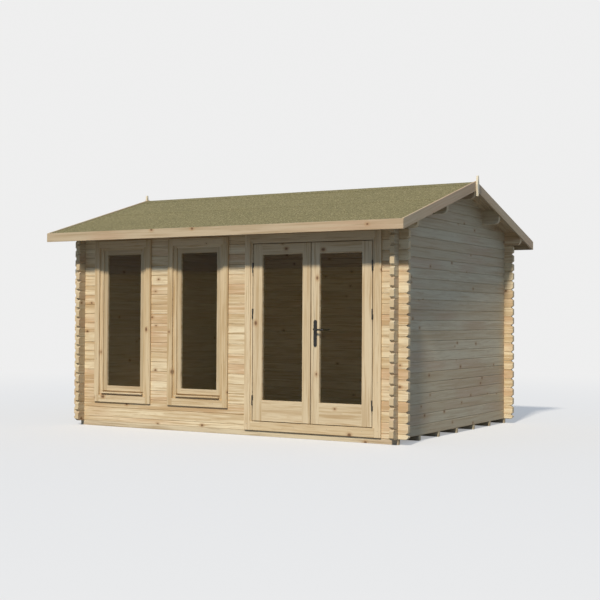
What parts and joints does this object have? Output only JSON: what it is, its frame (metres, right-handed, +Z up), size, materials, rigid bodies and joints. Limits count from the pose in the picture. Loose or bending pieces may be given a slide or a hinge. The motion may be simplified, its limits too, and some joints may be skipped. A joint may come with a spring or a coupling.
{
  "type": "log cabin",
  "caption": "Garden log cabin: interlocking wall logs with crossed corners, felted gable roof, glazed double door that opens outwards, and tall windows beside it.",
  "frame": {"origin": "centre of the cabin on the ground, under the middle floor bearer", "axes": "+X along the long walls to the door's end, +Y from the front wall to the back wall, +Z up"},
  "size_m": [4.25, 3.48, 2.6276],
  "materials": {
    "log_wood": "planed untreated softwood, knotty",
    "trim_wood": "planed untreated softwood",
    "fascia_wood": "planed untreated softwood",
    "roof_wood": "tongued and grooved softwood boards",
    "floor_wood": "tongued and grooved softwood boards",
    "bearer_wood": "rough sawn treated softwood",
    "roof_felt": "mineral roofing felt, matt olive green",
    "glass": "clear glass over a dark room",
    "ironmongery": "black satin"
  },
  "bodies": {
    "cabin": {"floor_bearers": "bearer_wood", "floor_boards": "floor_wood", "front_wall_logs_odd": "log_wood", "front_wall_logs_even": "log_wood", "back_wall_logs_odd": "log_wood", "back_wall_logs_even": "log_wood", "left_wall_logs_odd": "log_wood", "left_wall_logs_even": "log_wood", "right_wall_logs_odd": "log_wood", "right_wall_logs_even": "log_wood", "front_wall_plate": "log_wood", "back_wall_plate": "log_wood", "ridge_purlin": "log_wood", "front_purlin": "log_wood", "back_purlin": "log_wood", "roof_boards_front": "roof_wood", "roof_boards_back": "roof_wood", "roof_felt_front": "roof_felt", "roof_felt_back": "roof_felt", "ridge_felt": "roof_felt", "front_fascia": "fascia_wood", "back_fascia": "fascia_wood", "left_bargeboard_front": "fascia_wood", "left_bargeboard_back": "fascia_wood", "right_bargeboard_front": "fascia_wood", "right_bargeboard_back": "fascia_wood", "finials": "fascia_wood", "door_frame": "trim_wood", "door_trim": "trim_wood", "window_trims": "trim_wood", "window_frames": "trim_wood", "left_window_sash": "trim_wood", "right_window_sash": "trim_wood", "window_panes": "glass", "frame_hinges": "ironmongery"},
    "left_door": {"left_door_leaf": "trim_wood", "left_door_pane": "glass", "left_door_hinges": "ironmongery"},
    "right_door": {"right_door_leaf": "trim_wood", "right_door_pane": "glass", "right_door_hinges": "ironmongery", "handle_plates": "ironmongery"},
    "door_handle": {"door_handle": "ironmongery"}
  },
  "joints": [
    {"name": "left_door_hinge", "type": "hinge", "parent": "cabin", "child": "left_door", "pos_m": [0.311, -1.418, 1], "axis": [0, 0, -1], "range_deg": [0, 110]},
    {"name": "right_door_hinge", "type": "hinge", "parent": "cabin", "child": "right_door", "pos_m": [1.636, -1.418, 1], "axis": [0, 0, 1], "range_deg": [0, 110]},
    {"name": "handle_turn", "type": "hinge", "parent": "right_door", "child": "door_handle", "pos_m": [1.026, -1.412, 1.058], "axis": [0, 1, 0], "range_deg": [0, 40], "stiffness_Nm_per_rad": 1.5, "springref_deg": -22.92}
  ]
}
